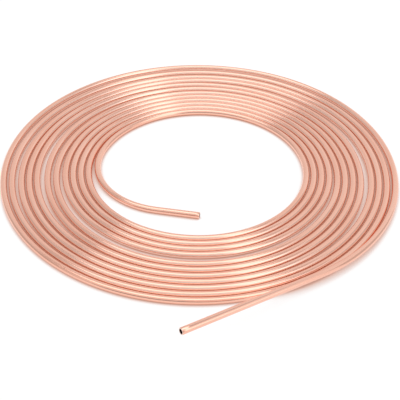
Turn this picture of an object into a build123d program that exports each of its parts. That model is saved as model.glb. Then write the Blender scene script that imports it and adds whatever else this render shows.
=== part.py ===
from build123d import *
import math
import os

# A coil of soft copper line tube, lying flat. The tube is one piece. It is wound outwards from
# the eye in a single layer, so each turn lies beside the one before, and both ends are free:
# the inner one bends away into the eye, and the outer one springs up a little and runs straight.
#
# Millimetres. The coil lies on the plane Z = 0. Seen from above it is wound clockwise, and a
# place on it is given in turns from the left, where the innermost turn starts.

# The tube, a common size for brake, fuel and gauge lines
TUBE_OD = 4.76
TUBE_WALL = 0.71

# The winding, measured on the tube's centreline
FIRST_TURN_RADIUS = 77.2
TURN_GAP = 0.96
OVAL = 0.45
WINDING_START = 0.04
WINDING_END = 11.5
ARCS_PER_TURN = 12
TURN_SIDES = 8

# Where the coil has sprung open. At this place the gap to the next turn out is wider by so many
# millimetres, over this share of a turn to each side, and all the turns outside it follow.
LOOSE_SPOTS = (
    (3.77, 3.5, 0.32),
    (5.16, 1.2, 0.45),
    (6.06, 2.3, 0.32),
    (7.43, 2.6, 0.31),
    (9.18, 2.3, 0.40),
    (10.25, 3.6, 0.35),
)

# The inner end, bent tighter than the winding
INNER_BEND_RADIUS = 57.0
INNER_BEND_ANGLE = 94.0
INNER_STRAIGHT = 31.5

# The outer end, whose bend tips up out of the flat coil
OUTER_BEND_RADIUS = 148.0
OUTER_BEND_ANGLE = 57.0
OUTER_LIFT_ANGLE = 4.5
OUTER_STRAIGHT = 107.0

WHOLE_TURN = 2 * math.pi
RIGHT_ANGLE = 90.0


def loosening(turn, spot, extra, share):
    """How much further out one loose spot puts the tube, after a number of turns."""
    turns_outside = round(turn - spot)
    along = turn - spot - turns_outside
    if turns_outside < 1 or abs(along) > share:
        return 0.0
    return extra * (1 + math.cos(math.pi * along / share)) / 2


def reach(turn):
    """How far out from the coil's centre the winding is, after a number of turns."""
    even = FIRST_TURN_RADIUS + (TUBE_OD + TURN_GAP) * turn
    oval = OVAL * math.cos(2 * WHOLE_TURN * turn)
    return even + oval + sum(loosening(turn, *spot) for spot in LOOSE_SPOTS)


def on_winding(turn):
    """The place on the winding where the tube runs square to the direction of its reach."""
    angle = WHOLE_TURN * turn
    outwards = Vector(-math.cos(angle), math.sin(angle))
    onwards = Vector(math.sin(angle), math.cos(angle))
    small = 0.001
    growth = (reach(turn + small) - reach(turn - small)) / (2 * small * WHOLE_TURN)
    return outwards * reach(turn) + onwards * growth


def bend_radius(turn, share):
    """Radius of the arc that spans the winding from one place, over a share of a turn."""
    chord = on_winding(turn + share) - on_winding(turn)
    return chord.length / (2 * math.sin(WHOLE_TURN * share / 2))


def straight(place, length):
    """A straight run from a place on the tube, and the place at its far end."""
    line = place * Line((0, 0), (length, 0))
    return line, Plane(line @ 1, x_dir=line % 1, z_dir=place.z_dir)


def bend(place, radius, angle):
    """An arc to the right from a place on the tube, and the place at its far end."""
    arc = place * JernArc((0, 0), (1, 0), radius, -angle)
    return arc, Plane(arc @ 1, x_dir=arc % 1, z_dir=place.z_dir)


def across(edge):
    """The plane square to the tube where an edge of its centreline starts, with X upwards."""
    return Plane(edge @ 0, x_dir=(0, 0, 1), z_dir=edge % 0)


def centreline():
    """The inner straight, all the bends in order, and the outer straight, each tangent to the last."""
    start_heading = RIGHT_ANGLE - math.degrees(WHOLE_TURN * WINDING_START)
    heading = math.radians(start_heading + INNER_BEND_ANGLE)
    place = Plane((0, 0, 0), x_dir=(math.cos(heading), math.sin(heading), 0))
    inner, place = straight(place, INNER_STRAIGHT)
    first, place = bend(place, INNER_BEND_RADIUS, INNER_BEND_ANGLE)
    bends = [first]
    count = round((WINDING_END - WINDING_START) * ARCS_PER_TURN)
    share = (WINDING_END - WINDING_START) / count
    for number in range(count):
        radius = bend_radius(WINDING_START + number * share, share)
        arc, place = bend(place, radius, math.degrees(WHOLE_TURN * share))
        bends.append(arc)
    tipped = place.z_dir.rotate(Axis((0, 0, 0), place.x_dir), -OUTER_LIFT_ANGLE)
    place = Plane(place.origin, x_dir=place.x_dir, z_dir=tipped)
    last, place = bend(place, OUTER_BEND_RADIUS, OUTER_BEND_ANGLE)
    bends.append(last)
    outer, place = straight(place, OUTER_STRAIGHT)
    return inner, bends, outer


# The two straight ends are open tube. The bends between them have a few flat sides in place of
# the round, and are filled.
inner_line, bends, outer_line = centreline()
ring = Circle(TUBE_OD / 2) - Circle(TUBE_OD / 2 - TUBE_WALL)
many_sided = RegularPolygon(TUBE_OD / 2, TURN_SIDES, major_radius=False, rotation=180 / TURN_SIDES)

inner_end = sweep(across(inner_line) * ring, path=inner_line)
turns = sweep(across(bends[0]) * many_sided, path=Wire(bends))
outer_end = sweep(across(outer_line) * ring, path=outer_line)
tube = inner_end + turns + outer_end

box = tube.bounding_box()
to_frame = Pos(-box.center().X, -box.center().Y, -box.min.Z)
tube = to_frame * tube

os.makedirs("parts", exist_ok=True)
tube.label = "copper_tube"
export_step(tube, "parts/copper_tube.step")

bends_length = sum(edge.length for edge in bends)
length = inner_line.length + bends_length + outer_line.length
print("tube", round(length), "mm long, copper", round(ring.area * length), "mm3")
print("turns, volume over section times length", round(turns.volume / many_sided.area / bends_length, 6))
print("smallest bend radius", round(min(edge.radius for edge in bends), 1), "mm")
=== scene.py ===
"""A flat coil of soft copper line tube, dressed and lit as for a product picture.

The coil is one tube. Its centreline is worked out from a few named sizes, a round skin is carried
along it, and drawn copper is painted on that skin with nodes.
"""

# %% [markdown]
# # A coil of copper tube
#
# The imported model is loaded first, as a fixed frame. It is in metres, with Z up, and its coil lies
# on the floor at Z = 0. The skin that is made here may not stand out of it.

import bpy
import numpy as np
from mathutils import Matrix


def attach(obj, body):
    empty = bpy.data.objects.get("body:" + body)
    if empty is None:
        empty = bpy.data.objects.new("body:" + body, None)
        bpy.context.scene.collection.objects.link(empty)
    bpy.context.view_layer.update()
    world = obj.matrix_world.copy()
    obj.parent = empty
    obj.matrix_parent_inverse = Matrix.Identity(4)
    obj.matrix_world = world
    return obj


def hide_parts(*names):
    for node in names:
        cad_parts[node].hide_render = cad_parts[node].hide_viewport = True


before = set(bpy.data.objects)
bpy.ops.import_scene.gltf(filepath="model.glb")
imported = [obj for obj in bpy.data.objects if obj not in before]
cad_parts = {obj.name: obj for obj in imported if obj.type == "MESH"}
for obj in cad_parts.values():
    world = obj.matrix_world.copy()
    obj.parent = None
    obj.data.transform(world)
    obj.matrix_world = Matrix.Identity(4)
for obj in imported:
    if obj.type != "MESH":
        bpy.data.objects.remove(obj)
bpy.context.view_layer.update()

# %% [markdown]
# ## The route of the tube
#
# A real coil like this is wound on a drum, one turn round the other, and then laid flat, where it
# springs open in places. The route could be drawn by hand as a curve, but a formula keeps every
# turn clear of the next, so the route is worked out: a reach that grows evenly, with a few loose
# spots where the gap opens and the turns outside follow.
#
# Places on the winding are counted in turns from the left. Seen from above, it goes clockwise.

# %% Sizes of the coil
MM = 0.001
TURN = 2 * np.pi
UP = np.array([0.0, 0.0, 1.0])

TUBE_RADIUS = 2.38 * MM
BORE_RADIUS = 1.67 * MM
FIRST_TURN_RADIUS = 77.2 * MM
TURN_PITCH = 5.72 * MM
OVAL = 0.45 * MM
WINDING_START = 0.04
WINDING_END = 11.5
COIL_CENTRE = np.array([-0.081, 14.895, 2.38]) * MM
LOOSE_SPOTS = (
    # turns from the left, extra millimetres, share of a turn to each side
    (3.77, 3.5, 0.32),
    (5.16, 1.2, 0.45),
    (6.06, 2.3, 0.32),
    (7.43, 2.6, 0.31),
    (9.18, 2.3, 0.40),
    (10.25, 3.6, 0.35),
)


# %% The reach of the winding
def reach(turns):
    """Distance from the coil's centre: an even growth, a slight oval, and the loose spots.

    A loose spot adds a cosine hump of its extra millimetres, over its share of a turn to each
    side, to all the turns outside it.
    """
    out = FIRST_TURN_RADIUS + TURN_PITCH * turns + OVAL * np.cos(2 * TURN * turns)
    for spot, extra, share in LOOSE_SPOTS:
        outside = np.round(turns - spot)
        along = turns - spot - outside
        hump = extra * MM * (1 + np.cos(np.pi * along / share)) / 2
        out = out + np.where((outside >= 1) & (np.abs(along) < share), hump, 0)
    return out


print("reach", (reach(np.array([WINDING_START, WINDING_END])) / MM).round(1), "mm")


# %% Places on the winding
QUARTER_TURN = 0.25


def heading_at(turns):
    """The level direction in which the tube runs: +Y at the left, and it turns to the right."""
    angle = TURN * turns
    return np.stack([np.sin(angle), np.cos(angle), np.zeros_like(angle)], -1)


def on_winding(turns):
    """Places on the winding, for an array of turns.

    The outward direction is square to the heading. A place is the reach times the outward
    direction, plus the growth of the reach times the heading.
    """
    outward = -heading_at(turns + QUARTER_TURN)
    small = 1e-4
    growth = (reach(turns + small) - reach(turns - small)) / (2 * small * TURN)
    return COIL_CENTRE + reach(turns)[:, None] * outward + growth[:, None] * heading_at(turns)


# %% [markdown]
# ## A chain of arcs
#
# The solid in the frame follows the winding as a chain of arcs, twelve to a turn. Each arc starts
# where the one before ends, and in its direction. A smooth curve through the same places would
# miss the solid by a third of a millimetre at the far end, so the chain is worked out here too,
# and the skin lies on the solid all the way.

# %% Arcs and straight runs
ARCS_PER_TURN = 12
STEP = 6.0 * MM


def steps(length):
    """Even fractions of a stretch, one for about each step, without its far end."""
    return np.arange(round(length / STEP)) / round(length / STEP)


def arc(place, heading, right, radius, angles):
    """Places and headings on an arc that bends to the right.

    A place is radius times sine along the heading, and radius times one less cosine to the side.
    """
    a = angles[:, None]
    places = place + radius * (np.sin(a) * heading + (1 - np.cos(a)) * right)
    headings = np.cos(a) * heading + np.sin(a) * right
    return places, headings


def run(place, heading, along):
    """Places and headings on a straight run: the heading times each length."""
    return place + along[:, None] * heading, np.repeat(heading[None], len(along), 0)


# %% The wound turns
def arc_chain():
    """Turns, places and headings, in even steps along a chain of arcs that spans the winding.

    An arc of angle A has the radius chord / (2 sin(A / 2)), and its chord points halfway between
    its two headings. The arcs start where the chords, laid end to end, put them.
    """
    count = round((WINDING_END - WINDING_START) * ARCS_PER_TURN)
    knots = np.linspace(WINDING_START, WINDING_END, count + 1)
    share = knots[1] - knots[0]
    chords = np.linalg.norm(np.diff(on_winding(knots), axis=0), axis=1)
    radii = chords / (2 * np.sin(TURN * share / 2))
    laid = np.cumsum(chords[:, None] * heading_at(knots[:-1] + share / 2), axis=0)
    starts = on_winding(knots[:1]) + np.concatenate([np.zeros((1, 3)), laid])

    unrolled = np.append(0, np.cumsum(radii * TURN * share))
    turns = np.interp(unrolled[-1] * steps(unrolled[-1]), unrolled, knots)
    number = np.clip(np.searchsorted(knots, turns, side="right") - 1, 0, count - 1)
    headings = heading_at(knots[number])
    angles = TURN * (turns - knots[number])
    places, headings = arc(
        starts[number], headings, np.cross(headings, UP), radii[number][:, None], angles)
    return turns, places, headings, starts[-1]


turns, wound, wound_heading, end = arc_chain()
drift = np.linalg.norm(end - on_winding(np.array([WINDING_END]))[0])
print("wound turns,", len(turns), "places, chain drifts by", round(drift / MM, 2), "mm")

# %% [markdown]
# ## The two free ends
#
# Each end is one bend and one straight run. The inner bend is tighter than the winding, and it is
# worked out backwards from the first turn. The outer bend lies in a plane that tips up a little,
# so the end rises clear of the turn beside it, as a cut end of a sprung coil does.

# %% The inner end
INNER_BEND_RADIUS = 57.0 * MM
INNER_BEND_ANGLE = np.radians(94.0)
INNER_STRAIGHT = 31.5 * MM

start_heading = wound_heading[0]
back_angles = INNER_BEND_ANGLE * (steps(INNER_BEND_RADIUS * INNER_BEND_ANGLE) - 1)
inner, inner_heading = arc(
    wound[0], start_heading, np.cross(start_heading, UP), INNER_BEND_RADIUS, back_angles)
back_along = INNER_STRAIGHT * (steps(INNER_STRAIGHT) - 1)
inner_run, inner_run_heading = run(inner[0], inner_heading[0], back_along)
print("inner tip", (inner_run[0] / MM).round(2), "mm")

# %% The outer end
OUTER_BEND_RADIUS = 148.0 * MM
OUTER_BEND_ANGLE = np.radians(57.0)
OUTER_LIFT_ANGLE = np.radians(4.5)
OUTER_STRAIGHT = 107.0 * MM

end_heading = heading_at(np.array([WINDING_END]))[0]
end_right = np.cross(end_heading, UP)
lifted_right = end_right * np.cos(OUTER_LIFT_ANGLE) + UP * np.sin(OUTER_LIFT_ANGLE)
out_angles = OUTER_BEND_ANGLE * np.append(steps(OUTER_BEND_RADIUS * OUTER_BEND_ANGLE), 1.0)
outer, outer_heading = arc(end, end_heading, lifted_right, OUTER_BEND_RADIUS, out_angles)
out_along = OUTER_STRAIGHT * np.append(steps(OUTER_STRAIGHT), 1.0)
outer_run, outer_run_heading = run(outer[-1], outer_heading[-1], out_along)
print("outer tip", (outer_run[-1] / MM).round(2), "mm")

# %% The whole route
route = np.concatenate([inner_run, inner, wound, outer[:-1], outer_run])
headings = np.concatenate(
    [inner_run_heading, inner_heading, wound_heading, outer_heading[:-1], outer_run_heading])
lengths = np.append(0, np.cumsum(np.linalg.norm(np.diff(route, axis=0), axis=1)))
print("route", len(route), "places,", round(lengths[-1], 3), "m")

# %% [markdown]
# ## The skin of the tube
#
# The tube is drawn copper, 4.76 mm outside with a 0.71 mm wall, cut square with a small burr
# broken off each edge. A curve with a bevel would give the outside in one step, but not the bore
# and the cut rim, so the skin is a grid: one direction goes round the tube, and the other goes
# along the outside, over the far rim, back through the bore and over the near rim. Joined end to
# end, the grid is a closed surface with no seam and no pole.

# %% Rings round the route
SIDES = 28
ROUND_ANGLES = TURN * np.arange(SIDES) / SIDES


def rings(places, along, radii):
    """A ring of points round each place: across times the cosine plus over times the sine.

    Across is level and square to the heading, over is square to both, and the radius may change
    from ring to ring.
    """
    across = np.cross(along, UP)
    across /= np.linalg.norm(across, axis=1)[:, None]
    over = np.cross(across, along)
    cosine, sine = np.cos(ROUND_ANGLES)[:, None], np.sin(ROUND_ANGLES)[:, None]
    directions = across[:, None] * cosine + over[:, None] * sine
    return places[:, None] + radii[:, None, None] * directions


# %% The closed profile, from tip to tip and back
EDGE_BREAK = 0.14 * MM
BORE_STRIDE = 3


def skin_profile():
    """For each ring: its number on the route, how far it is moved along it, and its radius.

    The rings go out along the whole route, and come back through the bore with one ring for
    every three. At each tip the edge is broken: the last ring is smaller outside, and wider in
    the bore, than the one before it. How many rings are on the outside comes with them.
    """
    last = len(route) - 1
    out = np.arange(1, last)
    back = out[::-BORE_STRIDE]
    number = np.concatenate([[0, 0], out, [last, last], [last, last], back, [0, 0]])
    moved = np.concatenate([[0, 1], 0 * out, [-1, 0], [0, -1], 0 * back, [1, 0]])
    rim = [TUBE_RADIUS, TUBE_RADIUS - EDGE_BREAK, BORE_RADIUS + EDGE_BREAK, BORE_RADIUS]
    radii = np.concatenate(
        [rim[1::-1], np.full(len(out), TUBE_RADIUS), rim, np.full(len(back), BORE_RADIUS),
         rim[:1:-1]])
    return number, EDGE_BREAK * moved, radii, 2 + len(out) + 2


def grid_faces(rows, columns):
    """Four-sided faces of a grid that is closed both ways, facing outwards.

    A face joins a point to the next one in its row, and to the same two in the row below.
    """
    row, column = np.arange(rows)[:, None], np.arange(columns)[None]
    below, beside = (row + 1) % rows, (column + 1) % columns
    corners = [row * columns + column, row * columns + beside,
               below * columns + beside, below * columns + column]
    return np.stack(corners, -1).reshape(-1, 4)


number, moved, radii, outside_rings = skin_profile()
skin = rings(route[number] + headings[number] * moved[:, None], headings[number], radii)
faces = grid_faces(len(skin), SIDES)
print("skin", skin.shape, "with", len(faces), "faces")


# %% Make the piece
def make_mesh(name, points, quads):
    """A smooth mesh from arrays of points and four-sided faces."""
    mesh = bpy.data.meshes.new(name)
    mesh.from_pydata(points.reshape(-1, 3), [], quads.tolist())
    mesh.polygons.foreach_set("use_smooth", np.ones(len(quads), dtype=bool))
    mesh.update()
    piece = bpy.data.objects.new(name, mesh)
    bpy.context.collection.objects.link(piece)
    return piece


tube = make_mesh("copper_tube_skin", skin, faces)
print("tube mesh", len(tube.data.polygons) * 2, "triangles")

# %% [markdown]
# ## What each point of the skin knows
#
# The pattern of drawn copper follows the tube, so each point carries where it is on the skin: the
# cosine and sine round the tube, and the length along it. Noise that reads these three numbers
# has no seam, and stretches along the tube as draw marks do.
#
# Three shares go with it. The bore is painted dark as shade, the cut rims are bare, and the flanks
# where two turns lie side by side are painted pale, as light in place of the shade between them.
# A picture laid over the tube could show these as well, but a share on the points can't slide, and
# it needs no picture.

# %% Painted light between the turns
GROOVE_LIGHT_FADE_TURNS = 0.1
FLANK_START = 0.55
FLANK_FADE = 0.4


def painted_groove_light():
    """How much painted light each point takes, in place of the shade between turns: on the flanks
    that face a neighbouring turn, only.

    The flank share rises with the cosine round the tube. The first turn has no neighbour inside
    it and the last none outside it, and the free ends have none.
    """
    inwards = np.clip((turns - 1 - WINDING_START) / GROOVE_LIGHT_FADE_TURNS, 0, 1)
    outwards = np.clip((WINDING_END - 1 - turns) / GROOVE_LIGHT_FADE_TURNS, 0, 1)
    across = np.cos(ROUND_ANGLES)
    flank = np.clip((np.abs(across) - FLANK_START) / FLANK_FADE, 0, 1)
    share = np.zeros(skin.shape[:2])
    first = len(inner_run) + len(inner) + 1
    share[first:first + len(turns)] = flank * np.where(
        across > 0, inwards[:, None], outwards[:, None])
    return share


# %% Put the shares on the points
def carry(name, kind, field, values):
    """Values put on the points of the skin, under a name that a material can read."""
    attribute = tube.data.attributes.new(name, kind, "POINT")
    attribute.data.foreach_set(field, values.ravel())


rims = [0, outside_rings - 1, outside_rings, -1]
cut_share = np.zeros(skin.shape[:2])
cut_share[rims] = 1.0
# the bore's share carries its painted shade and its matt roughness
bore_share = np.zeros(skin.shape[:2])
bore_share[outside_rings:] = 1.0
bore_share[rims] = 0.0
# painted light: the flanks between turns are made paler, to lighten the shade there
painted_groove_light_share = painted_groove_light()

skin_place = np.empty(skin.shape)
skin_place[..., 0] = np.cos(ROUND_ANGLES)
skin_place[..., 1] = np.sin(ROUND_ANGLES)
skin_place[..., 2] = (lengths[number] + moved)[:, None]
carry("skin_place", "FLOAT_VECTOR", "vector", skin_place)
for name, share in (("bore_share", bore_share), ("cut_share", cut_share), ("painted_groove_light_share", painted_groove_light_share)):
    carry(name, "FLOAT", "value", share)
    print(name, "on", round(100 * share.mean(), 1), "% of the points")

# %% [markdown]
# ## Drawn copper
#
# Soft drawn copper is a bright, slightly pink metal. The die leaves hair-fine marks along the
# tube, handling leaves faint dull patches, and the metal is never evenly bright. All of this is
# one metal shader, whose colour, roughness and bump come from noise stretched along the tube.
# Several materials could be given to several faces instead, but their borders would be hard,
# and rubbed copper has none.

# %% Nodes in few words
def put(tree, socket, value):
    """A value put on a socket, or another socket linked to it."""
    if isinstance(value, bpy.types.NodeSocket):
        tree.links.new(value, socket)
    else:
        socket.default_value = value


def node(tree, kind, **inputs):
    """A new node with its named sockets filled."""
    made = tree.nodes.new(kind)
    for name, value in inputs.items():
        put(tree, made.inputs[name.replace("_", " ")], value)
    return made


def arithmetic(tree, operation, first, second=0.0):
    """One sum on two values."""
    made = tree.nodes.new("ShaderNodeMath")
    made.operation = operation
    put(tree, made.inputs[0], first)
    put(tree, made.inputs[1], second)
    return made.outputs[0]


# %% Layers laid on by a share
def put_on(tree, level, share, new_level):
    """A level, changed to a new one where the share is 1: level + share times the change."""
    change = arithmetic(tree, "SUBTRACT", new_level, level)
    return arithmetic(tree, "ADD", level, arithmetic(tree, "MULTIPLY", share, change))


def painted(tree, colour, share, new_colour):
    """A colour, changed to a new one where the share is 1."""
    made = tree.nodes.new("ShaderNodeMix")
    made.data_type = "RGBA"
    factor, first, second = made.inputs[0], made.inputs[6], made.inputs[7]
    for socket, value in ((factor, share), (first, colour), (second, new_colour)):
        put(tree, socket, value)
    return made.outputs[2]


def spread(tree, value, low, high, start=0.3, stop=0.7):
    """A value spread from low to high as it goes from start to stop, and held outside them."""
    made = node(tree, "ShaderNodeMapRange", Value=value,
                From_Min=start, From_Max=stop, To_Min=low, To_Max=high)
    return made.outputs["Result"]


# %% Reading the skin
def carried(tree, name, output="Fac"):
    """What the mesh carries on its points under a name."""
    made = tree.nodes.new("ShaderNodeAttribute")
    made.attribute_name = name
    return made.outputs[output]


def skin_noise(tree, round_scale, long_scale, detail, rough):
    """Noise from 0 to 1, scaled apart round the tube and along it."""
    sized = tree.nodes.new("ShaderNodeVectorMath")
    sized.operation = "MULTIPLY"
    put(tree, sized.inputs[0], carried(tree, "skin_place", "Vector"))
    sized.inputs[1].default_value = (round_scale, round_scale, long_scale)
    made = node(tree, "ShaderNodeTexNoise", Vector=sized.outputs["Vector"],
                Scale=1.0, Detail=detail, Roughness=rough)
    return made.outputs["Fac"]


# %% Colour of the copper
BRIGHT_COPPER = (0.955, 0.575, 0.455, 1)
DEEP_COPPER = (0.925, 0.500, 0.375, 1)
# painted light: a paler copper on the flanks between turns, in place of the shade there
GROOVE_LIGHT_COPPER = (0.965, 0.700, 0.600, 1)
CUT_COPPER = (0.930, 0.720, 0.650, 1)
# painted shade: a near-black colour for the inside of the bore
BORE_PAINTED_SHADE = (0.045, 0.026, 0.022, 1)
# scale round the tube, scale along it, detail, roughness
PATCH_PATTERN = (0.7, 14.0, 3.0, 0.5)


def copper_colour(tree):
    """Long patches from bright to deeper copper, painted light on the flanks between turns, pale
    rims, and painted shade in the bore.
    """
    patches = spread(tree, skin_noise(tree, *PATCH_PATTERN), 0.0, 1.0)
    colour = painted(tree, BRIGHT_COPPER, patches, DEEP_COPPER)
    # painted light on the flanks between turns
    colour = painted(tree, colour, carried(tree, "painted_groove_light_share"), GROOVE_LIGHT_COPPER)
    colour = painted(tree, colour, carried(tree, "cut_share"), CUT_COPPER)
    # painted shade in the bore
    return painted(tree, colour, carried(tree, "bore_share"), BORE_PAINTED_SHADE)


# %% Gloss of the copper
GLOSS_PATTERN = (3.0, 30.0, 4.0, 0.6)
BRIGHT_ROUGHNESS = (0.12, 0.18)
SMUDGE_PATTERN = (1.1, 45.0, 3.0, 0.5)
SMUDGE_EDGES = (0.58, 0.75)
SMUDGE_ROUGHNESS = 0.08
CUT_ROUGHNESS = 0.35
BORE_ROUGHNESS = 0.7


def copper_roughness(tree):
    """Drawn metal, nearly a mirror, with duller smudges. The saw cut and the bore are matt."""
    gloss = spread(tree, skin_noise(tree, *GLOSS_PATTERN), *BRIGHT_ROUGHNESS)
    smudged = skin_noise(tree, *SMUDGE_PATTERN)
    smudges = spread(tree, smudged, 0.0, SMUDGE_ROUGHNESS, *SMUDGE_EDGES)
    roughness = arithmetic(tree, "ADD", gloss, smudges)
    roughness = put_on(tree, roughness, carried(tree, "cut_share"), CUT_ROUGHNESS)
    return put_on(tree, roughness, carried(tree, "bore_share"), BORE_ROUGHNESS)


# %% The copper itself
MARK_PATTERN = (16.0, 12.0, 3.0, 0.6)
MARK_DEPTH = 0.05 * MM
MARK_STRENGTH = 0.12


def drawn_copper():
    """One metal: the colour, the roughness, and draw marks as shallow bumps."""
    material = bpy.data.materials.new("drawn_copper")
    material.use_nodes = True
    tree = material.node_tree
    shader = tree.nodes["Principled BSDF"]
    shader.inputs["Metallic"].default_value = 1.0
    put(tree, shader.inputs["Base Color"], copper_colour(tree))
    put(tree, shader.inputs["Roughness"], copper_roughness(tree))
    marks = skin_noise(tree, *MARK_PATTERN)
    bump = node(tree, "ShaderNodeBump", Strength=MARK_STRENGTH, Distance=MARK_DEPTH, Height=marks)
    put(tree, shader.inputs["Normal"], bump.outputs["Normal"])
    return material


tube.data.materials.append(drawn_copper())
print("copper has", len(tube.data.materials[0].node_tree.nodes), "nodes")

# %% Set the piece in the frame
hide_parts("copper_tube")
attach(tube, "root")

# %% [markdown]
# ## The table
#
# The coil lies on a plain white table. Light comes down into the gaps between the turns only off
# the tube, so there the white takes on the colour of the copper. Enough bounces of light would
# show it, but they cost time and leave grain. How open a place is does the same: ambient
# occlusion feels for the tube over a short reach, and a ramp turns it into a colour.

# %% Colour in the gaps
OPEN_REACH = 9 * MM
GLOW_STRENGTH = 1.08
# painted light and shade on the table: copper coloured and darker where the tube closes it in
GAP_COLOURS = (
    # how open, colour
    (0.10, (0.42, 0.165, 0.105, 1)),
    (0.35, (0.70, 0.420, 0.330, 1)),
    (0.55, (0.82, 0.650, 0.600, 1)),
    (0.75, (1.00, 1.000, 1.000, 1)),
)


def colour_ramp(tree, value, stops):
    """A colour that moves through the stops as the value rises."""
    ramp = tree.nodes.new("ShaderNodeValToRGB")
    tree.links.new(value, ramp.inputs["Fac"])
    points = ramp.color_ramp.elements
    while len(points) < len(stops):
        points.new(0.5)
    for point, (place, colour) in zip(points, stops):
        point.position = place
        point.color = colour
    return ramp.outputs["Color"]


def gap_glow(tree):
    """A glow of painted light and shade: white in the open, and copper and darker in the gaps."""
    openness = node(tree, "ShaderNodeAmbientOcclusion", Distance=OPEN_REACH)
    glow_colour = colour_ramp(tree, openness.outputs["AO"], GAP_COLOURS)
    return node(tree, "ShaderNodeEmission", Color=glow_colour, Strength=GLOW_STRENGTH)


# %% The white of the table
TABLE_WHITE = (0.9, 0.9, 0.9, 1)
TABLE_ROUGHNESS = 0.9
GLOW_SHARE = 0.75


def pale_floor():
    """Matt white that takes the shadow, mixed with the glow where it is looked at.

    The camera sees the glow, and so does mirrored and bent light, so the metal shows the same
    table as the picture does. Diffuse light sees only the matt white.
    """
    material = bpy.data.materials.new("pale_floor")
    material.use_nodes = True
    tree = material.node_tree
    shader = tree.nodes["Principled BSDF"]
    shader.inputs["Base Color"].default_value = TABLE_WHITE
    shader.inputs["Roughness"].default_value = TABLE_ROUGHNESS
    shader.inputs["Specular IOR Level"].default_value = 0.0
    seen = tree.nodes.new("ShaderNodeLightPath").outputs
    mirrored = arithmetic(tree, "MAXIMUM", seen["Is Glossy Ray"], seen["Is Transmission Ray"])
    looked_at = arithmetic(tree, "MAXIMUM", seen["Is Camera Ray"], mirrored)
    mix = tree.nodes.new("ShaderNodeMixShader")
    tree.links.new(arithmetic(tree, "MULTIPLY", looked_at, GLOW_SHARE), mix.inputs["Fac"])
    tree.links.new(shader.outputs["BSDF"], mix.inputs[1])
    tree.links.new(gap_glow(tree).outputs["Emission"], mix.inputs[2])
    tree.links.new(mix.outputs["Shader"], tree.nodes["Material Output"].inputs["Surface"])
    return material


# %% Lay the table
TABLE_REACH = 6.0
corners = TABLE_REACH * np.array([[-1.0, -1, 0], [1, -1, 0], [1, 1, 0], [-1, 1, 0]])
table = make_mesh("table", corners, np.array([[0, 1, 2, 3]]))
table.data.materials.append(pale_floor())
print("table", 2 * TABLE_REACH, "m wide")

# %% [markdown]
# ## The light
#
# A polished tube shows its surroundings as long thin lines, so the room is the look of the metal.
# It has pale walls that are darker low in front and at the sides, two wide reflectors higher up
# in front, one tall panel at the right front, and a soft lamp overhead inside a dimmer ring. The
# lamp draws the long cream line along the front and back of each turn: a tube that runs across
# the view mirrors what is overhead, and one that runs away from the viewer doesn't.
#
# Lamps could be hung in the scene one by one. The room is worked out by direction alone instead,
# in the world's shader, because soft light from all round is then smooth and quick. All of it is
# white, and together it lights a level surface at a strength of about 1, so a colour shows about
# as it is written.

# %% Levels of the room
WALL_LEVEL = 0.88
WALL_TILT = 0.11
RING_LEVEL = 0.62
LAMP_LEVEL = 1.75
CAMERA_LEVEL = 1.0
# how far the lamp and its ring reach, as a lean from straight up, and where the middle leans
LAMP_SPREAD = 0.55
RING_SPREAD = 0.85
LAMP_LEAN = (-0.12, 0.05)
LAMP_NARROWER = 1.35
LOW_PANELS = (
    # compass in degrees, half width, lowest and highest as slopes, level
    (-55, 0.84, 0.60, 1.28, 0.98),
    (-128, 0.60, 0.60, 1.28, 1.02),
    (-105, 0.75, 0.02, 0.60, 0.46),
    (12, 0.40, -0.30, 0.80, 0.65),
    (170, 0.45, -0.30, 0.80, 0.60),
)
TALL_PANEL = (-42, 0.34, 0.14, 2.70, 1.60)
NEARLY_NONE = 0.001


# %% Panels, by direction
def facing(tree, direction, compass):
    """How much a direction points to a compass angle, in degrees from the right to the back."""
    turned = np.radians(compass)
    dot = tree.nodes.new("ShaderNodeVectorMath")
    dot.operation = "DOT_PRODUCT"
    tree.links.new(direction, dot.inputs[0])
    dot.inputs[1].default_value = (np.cos(turned), np.sin(turned), 0)
    return dot.outputs["Value"]


def within(tree, value, low, high):
    """1 where a value lies between two others, else 0."""
    above = arithmetic(tree, "GREATER_THAN", value, low)
    return arithmetic(tree, "MULTIPLY", above, arithmetic(tree, "LESS_THAN", value, high))


def panel(tree, direction, height, compass, half_width, lowest, highest):
    """1 on an upright panel, else 0.

    The sideways and the upward part of the direction, each over how far it faces the panel, are
    slopes, and on the panel both are in range.
    """
    forward = arithmetic(tree, "MAXIMUM", facing(tree, direction, compass), NEARLY_NONE)
    sideways = arithmetic(tree, "DIVIDE", facing(tree, direction, compass + 90), forward)
    upward = arithmetic(tree, "DIVIDE", height, forward)
    return arithmetic(tree, "MULTIPLY", within(tree, sideways, -half_width, half_width),
                      within(tree, upward, lowest, highest))


# %% The lamp overhead, by direction
def lean_from_lamp(tree, parts):
    """How far a direction leans from the lamp's middle: its level part over its height.

    The level part is measured to eight flat sides: the largest of x, y, and (x + y) / root 2.
    """
    height = parts["Z"]
    x, y = (
        arithmetic(tree, "ABSOLUTE", arithmetic(
            tree, "SUBTRACT", parts[axis], arithmetic(tree, "MULTIPLY", height, lean)))
        for axis, lean in zip("XY", LAMP_LEAN)
    )
    y = arithmetic(tree, "MULTIPLY", y, LAMP_NARROWER)
    diagonal = arithmetic(tree, "MULTIPLY", arithmetic(tree, "ADD", x, y), np.sqrt(0.5))
    level_part = arithmetic(tree, "MAXIMUM", arithmetic(tree, "MAXIMUM", x, y), diagonal)
    return arithmetic(tree, "DIVIDE", level_part,
                      arithmetic(tree, "MAXIMUM", height, NEARLY_NONE))


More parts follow.
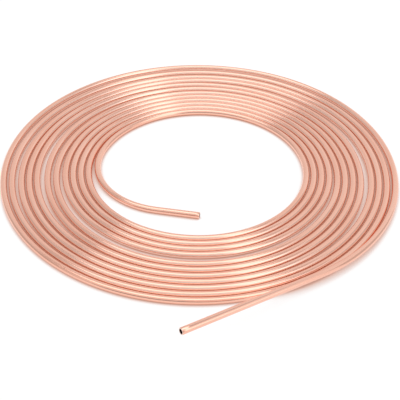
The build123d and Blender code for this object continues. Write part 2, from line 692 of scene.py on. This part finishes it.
# %% The whole room
def studio_room():
    """The wall, then the low panels, ring, tall panel and lamp, each put over the ones before.

    The wall grows a little brighter to the right. The camera itself sees plain white.
    """
    world = bpy.data.worlds.new("studio_room")
    world.use_nodes = True
    tree = world.node_tree
    direction = tree.nodes.new("ShaderNodeTexCoord").outputs["Generated"]
    parts = node(tree, "ShaderNodeSeparateXYZ", Vector=direction).outputs
    lean = lean_from_lamp(tree, parts)
    tilt = arithmetic(tree, "MULTIPLY", parts["X"], WALL_TILT)
    level = arithmetic(tree, "ADD", tilt, WALL_LEVEL)
    for *shape, panel_level in LOW_PANELS:
        level = put_on(tree, level, panel(tree, direction, parts["Z"], *shape), panel_level)
    level = put_on(tree, level, arithmetic(tree, "LESS_THAN", lean, RING_SPREAD), RING_LEVEL)
    *shape, panel_level = TALL_PANEL
    level = put_on(tree, level, panel(tree, direction, parts["Z"], *shape), panel_level)
    level = put_on(tree, level, arithmetic(tree, "LESS_THAN", lean, LAMP_SPREAD), LAMP_LEVEL)
    seen = tree.nodes.new("ShaderNodeLightPath").outputs
    level = put_on(tree, level, seen["Is Camera Ray"], CAMERA_LEVEL)
    background = tree.nodes["Background"]
    background.inputs["Color"].default_value = (1, 1, 1, 1)
    put(tree, background.inputs["Strength"], level)
    return world


bpy.context.scene.world = studio_room()
bpy.context.scene.view_settings.view_transform = "Standard"
print("room has", len(bpy.context.scene.world.node_tree.nodes), "nodes")

# %% [markdown]
# ## The camera
#
# The picture was taken from in front and a little above, with a long lens. The camera's place and
# its lens were worked out from how the turns crowd together at the back of the coil. It could be
# aimed with a constraint, but its four directions are as quick to write, and stay put.

# %% The camera
PICTURE_SIDE = 400
FOCAL_PIXELS = 916.7
SENSOR_WIDTH = 36.0
CAMERA_PLACE = np.array([0.661, -542.99, 413.99]) * MM
LOOK_DOWN = 0.6701
ROLL = 0.0089

look = np.array([0, np.cos(LOOK_DOWN), -np.sin(LOOK_DOWN)])
level_right = np.array([1.0, 0, 0])
camera_right = np.cos(ROLL) * level_right + np.sin(ROLL) * np.cross(level_right, look)
camera_up = np.cross(camera_right, look)
placed = np.eye(4)
placed[:3] = np.stack([camera_right, camera_up, -look, CAMERA_PLACE], -1)

camera_data = bpy.data.cameras.new("camera")
camera_data.sensor_width = SENSOR_WIDTH
camera_data.lens = SENSOR_WIDTH * FOCAL_PIXELS / PICTURE_SIDE
camera = bpy.data.objects.new("camera", camera_data)
camera.matrix_world = Matrix(placed.tolist())
bpy.context.collection.objects.link(camera)
bpy.context.scene.camera = camera
print("lens", round(camera_data.lens, 1), "mm")
